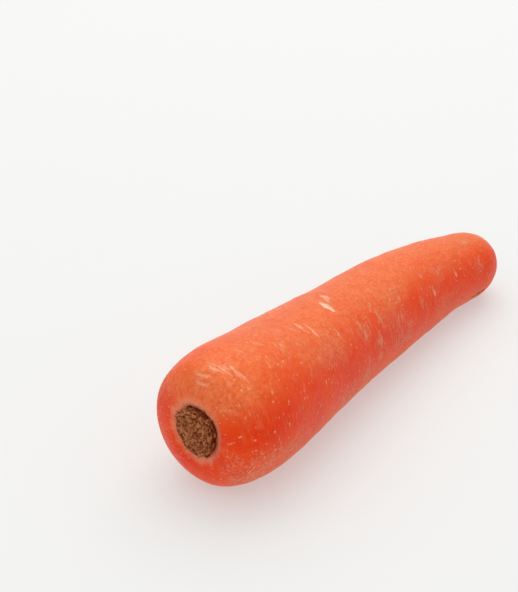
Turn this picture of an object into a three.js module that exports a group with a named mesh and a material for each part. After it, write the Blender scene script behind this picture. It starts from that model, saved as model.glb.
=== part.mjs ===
// A fresh topped carrot, lying on its side: one solid taproot with a shallow hollow at the crown, the
// dry corky stub of the leaf rosette in that hollow, and the torn bases of the leaf stalks round it.
// Millimetres, +Z up. The crown faces -X, the blunt tip +X, and the underside rests on z = 0.
import * as THREE from "three";
import { mergeVertices } from "three/addons/utils/BufferGeometryUtils.js";

// ---- driving dimensions ----------------------------------------------------------------------------
const LENGTH = 183; // crown lip to blunt tip
// Radius of the root along its length: [distance from the crown, radius] in the body of the root.
const GIRTH = [
  [0, 19.2],
  [8, 22.7],
  [18, 24.7], // the shoulder, the widest ring
  [36, 24.0],
  [58, 22.2],
  [82, 20.4],
  [106, 19.2],
  [131, 17.3],
  [157, 14.7],
  [183, 11.6],
];
const SHOULDER_ROUNDING = { reach: 6.8, power: 2.4 };
const TIP_ROUNDING = { reach: 15, power: 2.4 };

// The centre line: how high it runs at both ends, and how far it bows to the side on the way.
const CROWN_HEIGHT = 26;
const TIP_HEIGHT = 12.7;
const BOW = 4.9;
const BOW_TOWARDS_TIP = 2.8;

// Broad low swellings and waists of a root that grew in stony soil. "at" is the distance from the crown,
// "around" the angle from +Y towards +Z, "height" is above (or below) the plain round, "long" and "wide"
// say how far each one spreads.
const SWELLINGS = [
  { at: 171, around: 218, height: 0.45, long: 6, wide: 34 }, // chin under the blunt tip
  { at: 151, around: 218, height: -0.6, long: 8, wide: 38 }, // waist before the chin
  { at: 136, around: 52, height: 0.4, long: 18, wide: 45 },
  { at: 92, around: 52, height: -0.4, long: 11, wide: 40 },
  { at: 36, around: 52, height: -0.4, long: 8, wide: 40 },
  { at: 38, around: 215, height: 0.35, long: 8, wide: 30 },
  { at: 62, around: 0, height: 0.5, long: 16, wide: 50 },
  { at: 112, around: 350, height: -0.5, long: 14, wide: 45 },
  { at: 128, around: 130, height: 0.25, long: 12, wide: 35 },
  { at: 20, around: 120, height: 0.3, long: 10, wide: 40 },
];

const RINGS_ALONG = 54;
const FACETS_AROUND = 48;

// The crown hollow and what stands in it.
const CROWN_LIP = 0.6; // how far the lip stands back from the end of the plain outline
const HOLLOW_RADIUS = 8.9;
const HOLLOW_TAPER = 0.3;
const HOLLOW_DEPTH = 2.6;
const GAP = 0.3; // clear space between one piece and the next
const STUB_PLATE = 0.9; // thickness of the stub's plate, which covers the floor of the hollow
const STUB_NUB = { radius: 3.4, height: 2.3, pit: 0.4 };
const STALK_TOP = 2.9; // the tallest leaf-stalk base, above the floor of the hollow

// Leaf-stalk bases stand in two rings round the nub, like the leaves of a rosette.
const STALK_RINGS = [
  { count: 5, radius: 7.6, thickness: 1.2, turn: 20, cover: 0.84 },
  { count: 3, radius: 5.5, thickness: 1.1, turn: 65, cover: 0.8 },
];

// ---- materials -------------------------------------------------------------------------------------
const carrotSkin = new THREE.MeshStandardMaterial({ color: 0xe8602c, roughness: 0.45, metalness: 0 });
const dryCork = new THREE.MeshStandardMaterial({ color: 0xa87850, roughness: 0.9, metalness: 0 });
const dryStalk = new THREE.MeshStandardMaterial({ color: 0x7a4a2c, roughness: 0.9, metalness: 0 });

// ---- the centre line -------------------------------------------------------------------------------
class CentreLine extends THREE.Curve {
  getPoint(t, target = new THREE.Vector3()) {
    const u = 2 * t - 1;
    const side = (BOW + 2 * BOW_TOWARDS_TIP * u) * (1 - u * u);
    const height = THREE.MathUtils.lerp(CROWN_HEIGHT, TIP_HEIGHT, t);
    return target.set((t - 0.5) * LENGTH, side, height);
  }
}
const centreLine = new CentreLine();

// Where the centre line is at a distance from the crown, with the two directions across it.
function crossSection(distance) {
  const t = distance / LENGTH;
  const centre = centreLine.getPoint(t);
  const along = centreLine.getTangent(THREE.MathUtils.clamp(t, 0, 1));
  const side = new THREE.Vector3(0, 0, 1).cross(along).normalize();
  const top = along.clone().cross(side);
  return { centre, along, side, top };
}

// ---- closed skins from rings -----------------------------------------------------------------------
// Joins rings of points, listed from the -X end to the +X end, into one closed skin with a pole at each
// end. Each ring runs from +Y towards +Z.
function closedSkin(firstPole, rings, lastPole) {
  const points = [firstPole, ...rings.flat(), lastPole];
  const around = rings[0].length;
  const corner = (ring, j) => 1 + ring * around + (j % around);
  const last = points.length - 1;
  const faces = [];
  for (let j = 0; j < around; j++) {
    faces.push(0, corner(0, j + 1), corner(0, j));
    for (let i = 0; i + 1 < rings.length; i++) {
      faces.push(corner(i, j), corner(i, j + 1), corner(i + 1, j));
      faces.push(corner(i, j + 1), corner(i + 1, j + 1), corner(i + 1, j));
    }
    faces.push(corner(rings.length - 1, j), corner(rings.length - 1, j + 1), last);
  }
  const geometry = new THREE.BufferGeometry().setFromPoints(points);
  geometry.setIndex(faces);
  geometry.computeVertexNormals();
  return geometry;
}

// ---- taproot ---------------------------------------------------------------------------------------
// A super-elliptical end: 0 at the very end, 1 once "reach" is behind.
function rounding(distanceFromEnd, { reach, power }) {
  const short = THREE.MathUtils.clamp(1 - distanceFromEnd / reach, 0, 1);
  return (1 - short ** power) ** (1 / power);
}

function swelling(distance, angle) {
  let height = 0;
  for (const s of SWELLINGS) {
    const away = THREE.MathUtils.euclideanModulo(angle - s.around + 180, 360) - 180;
    height += s.height * Math.exp(-(((distance - s.at) / s.long) ** 2) - (away / s.wide) ** 2);
  }
  return height;
}

// The point of the skin at a distance from the crown and an angle around. The skin is pressed flat
// where the root lies on its resting surface.
function skinPoint(distance, radius, angle, lift) {
  const { centre, side, top } = crossSection(distance);
  const a = THREE.MathUtils.degToRad(angle);
  const r = radius + lift;
  const point = centre.addScaledVector(side, r * Math.cos(a)).addScaledVector(top, r * Math.sin(a));
  point.z = Math.max(point.z, 0);
  return point;
}

function ringOf(distance, radius, swells) {
  const ring = [];
  for (let j = 0; j < FACETS_AROUND; j++) {
    const angle = (360 * j) / FACETS_AROUND;
    const lift = swells ? swelling(distance, angle) * swells : 0;
    ring.push(skinPoint(distance, radius, angle, lift));
  }
  return ring;
}

function taprootGeometry() {
  const knots = GIRTH.map(([distance, radius]) => new THREE.Vector3(distance, radius, 0));
  const girth = new THREE.CatmullRomCurve3(knots, false, "centripetal");
  const floor = CROWN_LIP + HOLLOW_DEPTH;
  const rings = [
    ringOf(floor, HOLLOW_RADIUS * 0.5, 0),
    ringOf(floor, HOLLOW_RADIUS - HOLLOW_TAPER, 0),
    ringOf(floor / 2, HOLLOW_RADIUS - HOLLOW_TAPER / 2, 0),
    ringOf(CROWN_LIP, HOLLOW_RADIUS, 0),
  ];
  for (let i = 0; i < RINGS_ALONG; i++) {
    // Rings crowd together towards both ends, where the outline turns fastest.
    const t = (1 - Math.cos((Math.PI * (i + 1)) / (RINGS_ALONG + 1))) / 2;
    const { x: plain, y: radius } = girth.getPoint(t);
    const distance = Math.max(plain, CROWN_LIP + 0.05);
    const ends = rounding(distance, SHOULDER_ROUNDING) * rounding(LENGTH - distance, TIP_ROUNDING);
    if (radius * ends > HOLLOW_RADIUS || distance > LENGTH / 2) {
      rings.push(ringOf(distance, radius * ends, ends));
    }
  }
  return closedSkin(crossSection(floor).centre, rings, crossSection(LENGTH).centre);
}

// ---- the crown's dry pieces ------------------------------------------------------------------------
// Turns a piece modelled standing on z = 0 round the Z axis into its place on the floor of the hollow.
const crown = crossSection(CROWN_LIP + HOLLOW_DEPTH);
const crownGroup = new THREE.Group();
crownGroup.position.copy(crown.centre);
crownGroup.quaternion.setFromRotationMatrix(
  new THREE.Matrix4().makeBasis(crown.top, crown.side, crown.along.clone().negate()),
);

function stubGeometry() {
  const edge = HOLLOW_RADIUS - HOLLOW_TAPER - GAP;
  const base = GAP;
  const plate = base + STUB_PLATE;
  const outline = new THREE.Path();
  outline.moveTo(0, base);
  outline.lineTo(edge, base);
  outline.lineTo(edge, plate);
  outline.lineTo(STUB_NUB.radius + 0.3, plate + 0.1);
  outline.quadraticCurveTo(STUB_NUB.radius, STUB_NUB.height, STUB_NUB.radius * 0.55, STUB_NUB.height);
  outline.quadraticCurveTo(STUB_NUB.radius * 0.2, STUB_NUB.height, 0, STUB_NUB.height - STUB_NUB.pit);
  const lathe = new THREE.LatheGeometry(outline.getPoints(5), 32);
  lathe.rotateX(Math.PI / 2);
  lathe.deleteAttribute("normal");
  lathe.deleteAttribute("uv");
  return mergeVertices(lathe, 1e-3);
}

// One torn stalk base: a crescent that clasps the nub, thick in the middle and pointed at both ends.
function stalkGeometry(radius, thickness, halfAngle, height) {
  const outer = radius + thickness / 2;
  const end = new THREE.Vector2(Math.cos(halfAngle), Math.sin(halfAngle));
  const tipOut = end.clone().multiplyScalar(outer);
  const tipIn = end.clone().multiplyScalar(outer - thickness * 0.4);
  const inner = (radius - thickness / 2) / Math.cos(halfAngle) - (tipIn.length() - radius);
  const outline = new THREE.Shape();
  outline.absarc(0, 0, outer, -halfAngle, halfAngle, false);
  outline.lineTo(tipOut.x, tipOut.y);
  outline.lineTo(tipIn.x, tipIn.y);
  outline.quadraticCurveTo(inner, 0, tipIn.x, -tipIn.y);
  outline.closePath();
  const solid = new THREE.ExtrudeGeometry(outline, {
    depth: height,
    bevelEnabled: false,
    curveSegments: 8,
    steps: 1,
  });
  solid.deleteAttribute("normal");
  solid.deleteAttribute("uv");
  return mergeVertices(solid, 1e-3);
}

function named(name, geometry, material) {
  const mesh = new THREE.Mesh(geometry, material);
  mesh.name = name;
  return mesh;
}

const carrot = new THREE.Group();
carrot.add(named("taproot", taprootGeometry(), carrotSkin));
carrot.add(crownGroup);
crownGroup.add(named("crown_stub", stubGeometry(), dryCork));

let stalk = 0;
for (const ring of STALK_RINGS) {
  for (let i = 0; i < ring.count; i++) {
    stalk += 1;
    const base = GAP + STUB_PLATE + GAP;
    const top = STALK_TOP - 0.25 * ((stalk * 3) % 4); // torn off at differing heights
    const halfAngle = (Math.PI / ring.count) * ring.cover;
    const mesh = named(
      `leaf_stalk_base_${stalk}`,
      stalkGeometry(ring.radius, ring.thickness, halfAngle, top - base),
      dryStalk,
    );
    mesh.position.z = base;
    mesh.rotation.z = THREE.MathUtils.degToRad(ring.turn + (360 * i) / ring.count);
    crownGroup.add(mesh);
  }
}

// The origin is the middle of the whole carrot's outline box, on the resting surface.
const box = new THREE.Box3().setFromObject(carrot, true);
carrot.position.set(-(box.min.x + box.max.x) / 2, -(box.min.y + box.max.y) / 2, -box.min.z);

export default carrot;
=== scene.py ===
"""Carrot: the finished surfaces of a fresh topped carrot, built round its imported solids.

Laid out as an add-on and run as a script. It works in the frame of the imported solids: the crown faces -X,
the blunt tip +X, and the root lies on z = 0. Lengths are in metres, except in the tables of marks, patches
and the crown's outline, which are in millimetres and degrees.
"""
import math

import bpy
import numpy as np
from bpy.props import FloatProperty, FloatVectorProperty, IntProperty, PointerProperty
from mathutils import Matrix, Vector


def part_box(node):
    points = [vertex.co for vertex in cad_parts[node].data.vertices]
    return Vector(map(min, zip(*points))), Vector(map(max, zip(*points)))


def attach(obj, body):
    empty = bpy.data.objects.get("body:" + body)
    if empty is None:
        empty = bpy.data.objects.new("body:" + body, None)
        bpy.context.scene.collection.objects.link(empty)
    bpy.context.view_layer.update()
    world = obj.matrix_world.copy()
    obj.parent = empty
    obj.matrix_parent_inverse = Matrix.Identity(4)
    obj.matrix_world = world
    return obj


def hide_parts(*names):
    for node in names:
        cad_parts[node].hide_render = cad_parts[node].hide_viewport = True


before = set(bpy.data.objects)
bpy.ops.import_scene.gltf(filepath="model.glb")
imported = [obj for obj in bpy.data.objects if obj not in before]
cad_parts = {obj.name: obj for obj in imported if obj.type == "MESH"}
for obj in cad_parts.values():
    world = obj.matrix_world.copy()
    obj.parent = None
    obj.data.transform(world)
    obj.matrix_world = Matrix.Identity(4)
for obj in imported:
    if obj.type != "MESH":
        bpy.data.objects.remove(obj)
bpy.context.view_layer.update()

bl_info = {
    "name": "Carrot",
    "version": (1, 0, 0),
    "blender": (4, 5, 0),
    "location": "View3D > Sidebar > Carrot",
    "description": "Builds a topped carrot with a dry crown, and a plain studio for it",
    "category": "Object",
}

MM = 0.001
STALK_NODES = sorted(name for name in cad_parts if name.startswith("leaf_stalk_base"))
ROOT_LOW, ROOT_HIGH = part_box("taproot")

# Patterns on the skin are laid out on a drum of this radius, unrolled: x runs along the root from the
# crown, y runs round it from the top towards +Y.
DRUM_RADIUS = 0.020
CROWN_FAN_DEPTH = 0.022  # how far behind the crown the fan of rays that draws the crown end starts
TIP_FAN_DEPTH = 0.012  # the same at the tip
CROWN_SHARE = 0.17  # share of the skin's rows that the crown end takes
TIP_SHARE = 0.1  # the same at the tip
NODE_SPACING = 180  # between the nodes of a tree in the node editor


def colour(name, description, default):
    """A colour property, in linear red, green and blue."""
    return FloatVectorProperty(
        name=name, description=description, subtype="COLOR", size=3, min=0.0, max=1.0, default=default
    )


def length(name, description, default):
    """A length property, in metres."""
    return FloatProperty(name=name, description=description, unit="LENGTH", precision=5, default=default)


def angle(name, description, degrees):
    """An angle property."""
    return FloatProperty(name=name, description=description, subtype="ANGLE", default=math.radians(degrees))


def number(name, description, default):
    return FloatProperty(name=name, description=description, default=default)


def whole(name, description, default):
    return IntProperty(name=name, description=description, default=default)


# ---- settings a user would change -----------------------------------------------------------------


class CarrotSkinSettings(bpy.types.PropertyGroup):
    rows: whole("Rows", "Rows of faces from crown to tip", 600)
    columns: whole("Columns", "Faces round the root", 164)
    smoothing: whole("Smoothing", "Passes that relax the facets", 40)
    lumps: length("Lumps", "Height of the broad unevenness of the root", 0.50 * MM)
    ripples: length("Ripples", "Height of the fine cross ripples", 0.07 * MM)
    furrow: length("Furrow depth", "Depth of the pale cross marks", 0.28 * MM)
    flesh: colour("Flesh", "Main orange of the skin", (0.91, 0.062, 0.001))
    deep: colour("Deep flesh", "Deeper, redder orange in the mottling", (0.80, 0.020, 0.0005))
    # Painted sheen: a paler, yellower orange laid over the upper side in place of the broad highlight from
    # above.
    light: colour("Painted sheen", "Yellower orange of the upper side", (0.87, 0.200, 0.062))
    pale: colour("Pale mark", "Peach of the cross marks and specks", (1.0, 0.38, 0.22))
    healed: colour("Healed mark", "Whitish middle of the strongest cross marks", (1.0, 0.62, 0.48))
    scuff: colour("Scuff", "Whitish bloom of scuffed skin", (1.0, 0.47, 0.30))
    rim: colour("Rim", "Dull pink of the thin skin round the crown", (0.92, 0.29, 0.165))
    scar: colour("Scar", "Brown of the withered tail", (0.11, 0.030, 0.010))
    seed: whole("Seed", "Seed of every random draw on the skin", 7)


class CarrotCrownSettings(bpy.types.PropertyGroup):
    relief: length("Cork relief", "Height of the lumps and pits of the dry stub", 0.55 * MM)
    fill: length("Fill", "How far the dry stub stays below the lip of the crown", 0.15 * MM)
    fibres: whole("Fibres", "Fibres for each square millimetre", 3)
    fibre_length: length("Fibre length", "Longest fibre", 1.9 * MM)
    cork: colour("Cork", "Dry tan of the stub", (0.58, 0.225, 0.095))
    pit: colour("Pit", "Dark brown of cracks and pits", (0.15, 0.026, 0.004))
    stalk: colour("Stalk", "Red-brown of the torn stalk bases", (0.36, 0.095, 0.026))
    seed: whole("Seed", "Seed of every random draw on the crown", 11)


class CarrotStageSettings(bpy.types.PropertyGroup):
    azimuth: angle("Azimuth", "Direction of the view, 0 looks along +Y", -52.1)
    elevation: angle("Elevation", "Height of the view above the horizon", 30.4)
    distance: length("Distance", "From the camera to the point that it aims at", 0.70)
    lens: number("Lens", "Focal length in millimetres", 117.0)
    aim: FloatVectorProperty(
        name="Aim", description="Point in the middle of the picture", subtype="TRANSLATION", size=3,
        default=(-0.0158, 0.0317, 0.0323),
    )
    ground: length("Ground", "Half the width of the ground", 12.0)
    paper: colour("Paper", "Pale ground", (0.85, 0.855, 0.845))
    glow: number("Glow", "Share of the ground's brightness that is its own", 0.45)
    ambient: number("Ambient", "Brightness of the sky overhead", 1.0)
    key: number("Key", "Power of the overhead softbox in watts", 7.0)
    fill: number("Fill", "Power of the crown fill in watts", 1.6)


# ---- node graphs ----------------------------------------------------------------------------------


class Wire:
    """One socket's value. Arithmetic on it adds Math nodes to its graph."""

    def __init__(self, graph, socket):
        self.graph = graph
        self.socket = socket

    def __neg__(self):
        return self * -1.0


def arithmetic(operation, swapped):
    """An operator of Wire that adds a Math node, with its two values swapped or not."""

    def method(wire, other):
        return wire.graph.math(operation, *((other, wire) if swapped else (wire, other)))

    return method


for sign, operation in (
    ("add", "ADD"), ("sub", "SUBTRACT"), ("mul", "MULTIPLY"), ("truediv", "DIVIDE"), ("pow", "POWER")
):
    setattr(Wire, f"__{sign}__", arithmetic(operation, swapped=False))
    setattr(Wire, f"__r{sign}__", arithmetic(operation, swapped=True))


class Outputs:
    """The outputs of one node, by name; calling it with no name gives the first."""

    def __init__(self, graph, node):
        self.graph = graph
        self.node = node

    def __getitem__(self, name):
        return Wire(self.graph, named_socket(self.node.outputs, name))

    def __call__(self):
        return Wire(self.graph, next(s for s in self.node.outputs if s.enabled))


def named_socket(sockets, name):
    """The socket in use with that name, because a node keeps one for each data type."""
    for socket in sockets:
        if socket.enabled and socket.name == name:
            return socket
    raise KeyError(f"no socket {name!r} among {[s.name for s in sockets if s.enabled]}")


class Graph:
    """Adds nodes to a shader or geometry tree."""

    def __init__(self, tree):
        self.tree = tree

    def node(self, kind, settings=None, values=None):
        """A node of any kind: its settings first, then the values or wires of its sockets."""
        node = self.tree.nodes.new(kind)
        node.location = (NODE_SPACING * len(self.tree.nodes), 0)
        for key, setting in (settings or {}).items():
            setattr(node, key, setting)
        for key, value in (values or {}).items():
            socket = node.inputs[key] if isinstance(key, int) else named_socket(node.inputs, key)
            self.feed(socket, value)
        return Outputs(self, node)

    def feed(self, socket, value):
        """Links a wire to a socket, or sets the socket's own value."""
        if isinstance(value, Outputs):
            value = value()
        if isinstance(value, Wire):
            self.tree.links.new(value.socket, socket)
        else:
            socket.default_value = value

    def math(self, operation, *values):
        return self.node("ShaderNodeMath", {"operation": operation}, dict(enumerate(values)))()

    def cos(self, turn):
        return self.math("COSINE", turn)

    def sin(self, turn):
        return self.math("SINE", turn)

    def vector(self, operation, *values):
        return self.node("ShaderNodeVectorMath", {"operation": operation}, dict(enumerate(values)))()

    def scaled(self, vector, factor):
        node = self.node("ShaderNodeVectorMath", {"operation": "SCALE"}, {0: vector, "Scale": factor})
        return node()

    def weighted(self, first, second):
        """The sum of two vectors, each given with its factor."""
        return self.vector("ADD", self.scaled(*first), self.scaled(*second))

    def combine(self, x, y, z):
        return self.node("ShaderNodeCombineXYZ", None, {0: x, 1: y, 2: z})()

    def separate(self, vector):
        parts = self.node("ShaderNodeSeparateXYZ", None, {0: vector})
        return parts["X"], parts["Y"], parts["Z"]

    def clamp(self, value, low=0.0, high=1.0):
        return self.math("MINIMUM", self.math("MAXIMUM", value, low), high)

    def ease(self, value, low, high):
        """0 at low, 1 at high, and a smooth step between, whichever of the two is the greater."""
        values = {"Value": value, "From Min": low, "From Max": high}
        return self.node("ShaderNodeMapRange", {"interpolation_type": "SMOOTHSTEP"}, values)()

    def noise(self, vector, scale, detail=2.0, rough=0.5):
        """Noise about 0.5, in cycles per metre of the vector."""
        values = {"Vector": vector, "Scale": scale, "Detail": detail, "Roughness": rough}
        return self.node("ShaderNodeTexNoise", None, values)["Fac"]

    def cells(self, vector, scale):
        """Scattered cells, in cells per metre of the vector, with Distance and Color outputs."""
        return self.node("ShaderNodeTexVoronoi", None, {"Vector": vector, "Scale": scale})

    def mix(self, low, high, mask):
        """The low colour where the mask is 0, the high one where it is 1."""
        settings = {"data_type": "RGBA", "clamp_factor": True}
        return self.node("ShaderNodeMix", settings, {"Factor": mask, "A": low, "B": high})["Result"]


def rgba(shade):
    return (*shade, 1.0)


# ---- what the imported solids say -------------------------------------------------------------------

LINE_POINTS = 16  # points on the centre line
LINE_WINDOW = 4 * MM  # reach of the slice whose middle gives one of them
LIP_RING = (8 * MM, 11 * MM)  # where the lip of the crown lies round its middle
LIP_DEPTH = 5 * MM  # and how far below the stub's underside to look for it


def coordinates(mesh):
    """The places of a mesh's vertices, one in each row."""
    flat = np.empty(len(mesh.vertices) * 3)
    mesh.vertices.foreach_get("co", flat)
    return flat.reshape(-1, 3)


def vertices_of(node):
    return coordinates(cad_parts[node].data)


def centre_line():
    """Points up the middle of the taproot, between the places where its ends start to round off."""
    points = vertices_of("taproot")
    start, stop = ROOT_LOW.x + CROWN_FAN_DEPTH, ROOT_HIGH.x - TIP_FAN_DEPTH
    line = []
    for x in np.linspace(start, stop, LINE_POINTS):
        near = points[abs(points[:, 0] - x) < LINE_WINDOW]
        low, high = near.min(axis=0), near.max(axis=0)
        line.append(Vector((x, (low[1] + high[1]) / 2, (low[2] + high[2]) / 2)))
    return line


def crown_matrix():
    """The crown's own frame: origin in the middle of the stub's underside, Z out of the crown, X up."""
    points = vertices_of("crown_stub")
    middle = points.mean(axis=0)
    spread = np.linalg.eigh(np.cov((points - middle).T))
    out = Vector(spread[1][:, 0])
    if out.x > 0:
        out.negate()
    heights = (points - middle) @ np.array(out)
    origin = Vector(middle) + out * heights.min()
    up = Vector((0, 0, 1))
    up = (up - out * up.dot(out)).normalized()
    matrix = Matrix((up, out.cross(up), out)).transposed().to_4x4()
    matrix.translation = origin
    return matrix


def in_crown_frame(points):
    """Those places in the crown's own frame."""
    points = np.c_[points, np.ones(len(points))]
    return (points @ np.array(crown_matrix().inverted()).T)[:, :3]


def lip_height():
    """How far the lip of the crown stands above the middle of the stub's underside."""
    points = in_crown_frame(vertices_of("taproot"))
    ring = np.hypot(points[:, 0], points[:, 1])
    near = (ring > LIP_RING[0]) & (ring < LIP_RING[1]) & (points[:, 2] > -LIP_DEPTH)
    return float(points[near, 2].max())


# ---- meshes from geometry trees --------------------------------------------------------------------

# The kind of a tree's input, for the types of value whose names differ from it.
SOCKET_KINDS = {"int": "Int", "float": "Float", "list": "Vector"}
WELD = 0.001 * MM  # vertices closer than this are merged


def geometry_tree(name, values):
    """The graph of a new geometry tree with an input for each value, and the wires of those inputs."""
    tree = bpy.data.node_groups.new(name, "GeometryNodeTree")
    for label, value in values.items():
        kind = type(value).__name__
        socket_type = "NodeSocket" + SOCKET_KINDS.get(kind, kind)
        tree.interface.new_socket(label, in_out="INPUT", socket_type=socket_type)
    tree.interface.new_socket("Geometry", in_out="OUTPUT", socket_type="NodeSocketGeometry")
    graph = Graph(tree)
    group = graph.node("NodeGroupInput")
    return graph, {label: group[label] for label in values}


def finish_tree(graph, geometry, material):
    """Ends a tree: smooth, real meshes with their material."""
    smooth = graph.node("GeometryNodeSetShadeSmooth", None, {"Geometry": geometry})
    values = {"Geometry": realized(graph, smooth), "Material": material}
    painted = graph.node("GeometryNodeSetMaterial", None, values)
    graph.node("NodeGroupOutput", None, {"Geometry": painted})


def grown(name, graph, values, place=None):
    """Runs a geometry tree once and gives the plain mesh object that it makes."""
    starter = bpy.data.objects.new(name + "_starter", bpy.data.meshes.new(name + "_starter"))
    bpy.context.scene.collection.objects.link(starter)
    modifier = starter.modifiers.new(name, "NODES")
    modifier.node_group = graph.tree
    for item in graph.tree.interface.items_tree:
        if item.in_out == "INPUT" and item.name in values:
            modifier[item.identifier] = values[item.name]
    depsgraph = bpy.context.evaluated_depsgraph_get()
    mesh = bpy.data.meshes.new_from_object(
        starter.evaluated_get(depsgraph), preserve_all_data_layers=True, depsgraph=depsgraph
    )
    starter.modifiers.remove(modifier)
    bpy.data.objects.remove(starter)
    if not mesh.polygons:
        raise RuntimeError(f"{name}: its geometry tree made no faces")
    if place is not None:
        mesh.transform(place)
    mesh.name = name
    piece = bpy.data.objects.new(name, mesh)
    bpy.context.scene.collection.objects.link(piece)
    return piece


def helper(name, data):
    """An object that only feeds a tree. It is removed once the tree has run."""
    made = bpy.data.objects.new(name, data)
    bpy.context.scene.collection.objects.link(made)
    return made


def curve_through(name, points, closed=False):
    """A helper that holds straight stretches of curve from point to point."""
    curve = bpy.data.curves.new(name, "CURVE")
    curve.dimensions = "3D"
    spline = curve.splines.new("POLY")
    spline.points.add(len(points) - 1)
    for point, place in zip(spline.points, points):
        point.co = (*place, 1.0)
    spline.use_cyclic_u = closed
    return helper(name, curve)


# ---- marks on the skin -----------------------------------------------------------------------------
# Places on the skin are given as the distance from the crown in millimetres, and the angle from the top
# in degrees, positive towards +Y.

# Groups of pale cross marks: the place (mm, degrees), its spread (mm, degrees), how many, their length and
# width (mm), how strong, and how they slant (mm along the root for each mm round it).
MARK_GROUPS = (
    (9.6, -2, 0.4, 5, 2, 6.6, 0.62, 0.95, 0.00),
    (11.2, -10, 0.5, 6, 3, 6.2, 0.62, 0.95, 0.04),
    (12.8, -22, 0.6, 8, 4, 5.0, 0.55, 0.90, 0.08),
    (6.6, 4, 0.3, 6, 3, 5.6, 0.60, 0.82, 0.00),
    (4.6, 0, 0.3, 6, 2, 5.0, 0.60, 0.82, 0.00),
    (8.2, -12, 0.7, 10, 3, 4.0, 0.40, 0.50, 0.00),
    (20, -4, 0.8, 6, 3, 3.4, 0.40, 0.60, 0.10),
    (28, -5, 1.0, 5, 3, 3.2, 0.40, 0.55, 0.10),
    (34, -23, 1.6, 6, 5, 2.4, 0.42, 0.70, 0.10),
    (41, -6, 1.4, 7, 4, 4.4, 0.40, 0.60, 0.10),
    (50.4, -12, 0.6, 6, 4, 6.0, 0.60, 0.90, -0.05),
    (53.2, -26, 0.7, 7, 4, 5.4, 0.58, 0.95, -0.08),
    (46, -16, 1.6, 8, 3, 4.0, 0.40, 0.55, 0.00),
    (76.6, 1, 0.5, 2, 3, 3.2, 1.90, 1.05, 0.06),
    (71.6, -12, 1.3, 3, 7, 3.6, 1.90, 1.30, 0.08),
    (75.2, -8, 0.8, 6, 4, 3.0, 0.60, 0.80, 0.06),
    (63.6, -41, 0.4, 3, 2, 3.2, 0.48, 0.85, 0.10),
    (93.5, 5, 1.4, 5, 3, 3.2, 0.42, 0.70, 0.12),
    (89, -35, 1.0, 3, 2, 3.0, 0.48, 0.85, 0.12),
    (96, -23, 0.7, 4, 2, 2.6, 0.42, 0.65, 0.12),
    (78, -53, 2.4, 8, 8, 3.2, 0.42, 0.75, 0.12),
    (91, -55, 2.4, 10, 6, 3.0, 0.40, 0.75, 0.16),
    (106.3, -45, 0.8, 5, 3, 4.0, 0.42, 0.80, 0.14),
    (98, -78, 5.0, 16, 12, 4.0, 0.40, 0.70, 0.10),
    (85, -82, 2.0, 16, 9, 5.0, 0.42, 0.75, 0.08),
    (74, -94, 2.6, 8, 5, 4.0, 0.40, 0.65, 0.08),
    (119, -73, 2.0, 8, 5, 3.0, 0.40, 0.70, 0.08),
    (125.4, -37, 0.7, 4, 3, 2.6, 0.40, 0.75, 0.16),
    (128.8, -66, 0.5, 3, 3, 3.6, 0.52, 1.00, 0.06),
    (136.5, -46, 1.2, 4, 4, 2.2, 0.42, 0.80, 0.20),
    (146.8, -58, 0.3, 3, 2, 4.6, 0.52, 1.00, 0.04),
    (163, -20, 2.0, 8, 8, 1.8, 0.42, 0.75, 0.10),
    (165.5, -62, 1.6, 12, 4, 4.0, 0.42, 0.60, 0.00),
    (118, -55, 34.0, 50, 24, 2.0, 0.34, 0.50, 0.10),
    (55, -62, 34.0, 40, 30, 2.0, 0.34, 0.50, 0.10),
    (16, 100, 6.0, 40, 8, 6.0, 0.48, 0.75, 0.05),
    (48, 120, 5.0, 30, 8, 5.0, 0.45, 0.75, 0.05),
    (84, 80, 6.0, 35, 8, 5.0, 0.45, 0.75, 0.05),
    (118, 110, 7.0, 35, 9, 4.6, 0.42, 0.70, 0.05),
    (150, 95, 6.0, 30, 6, 4.0, 0.42, 0.70, 0.05),
    (80, 110, 70.0, 70, 34, 2.4, 0.36, 0.50, 0.08),
)
MARK_COLUMNS = ("spread_along", "spread_around", "amount", "mark_length", "mark_width", "strength", "slant")
MARK_POINTS = 9  # points on the line of one mark
MARK_TAPER = 2.8  # 4 would bring the width of a mark to nothing at its ends
MARK_WAVE = 0.9 * MM
MARK_WAVE_SCALE = 110.0  # waves for each metre

# Patches laid out from seeds: the input that holds them, the attribute, and how ragged their edge is.
PATCH_KINDS = (("Scuff seeds", "scuff", 3.2), ("Tail seeds", "tail", 0.8), ("Speck seeds", "speck", 0.0))

# Patches of scuffed, whitish skin: the place (mm, degrees), and how far it reaches (mm).
SCUFF_PATCHES = (
    (86, -84, 8), (99, -76, 9), (92, -56, 7), (107, -88, 8), (78, -54, 6), (74, -96, 6),
    (51, -55, 8), (60, -106, 8), (8, -118, 12), (24, -108, 7), (136, -96, 8), (163, -20, 5),
    (165, -64, 6), (136, -46, 5), (60, 110, 16), (110, 100, 18), (150, 120, 12), (20, 120, 14),
)

# Withered tails of side roots, brown and sunken, laid out in the same way.
TAIL_SCARS = (
    (162.5, -121, 2.6), (165.5, -119, 3.0), (168.2, -117, 2.2), (150.5, -101, 1.0), (96, 140, 1.6),
)

# Single bright specks, laid out in the same way.
BRIGHT_SPECKS = (
    (1.5, -38, 0.55), (6.5, -58, 0.60), (11.5, -37, 0.50), (17.5, -50, 0.60), (27.2, -38, 0.50),
    (28.6, -36, 0.50), (0.8, -84, 0.60), (3.0, -16, 0.45), (33.0, -20, 0.55), (35.0, -19, 0.50),
    (41.0, -28, 0.55), (22.0, -64, 0.45), (44.0, -70, 0.50), (121.0, -52, 0.50), (142.0, -30, 0.45),
    (62.0, 70, 0.55), (30.0, 95, 0.55), (104.0, 60, 0.50),
)

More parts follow.
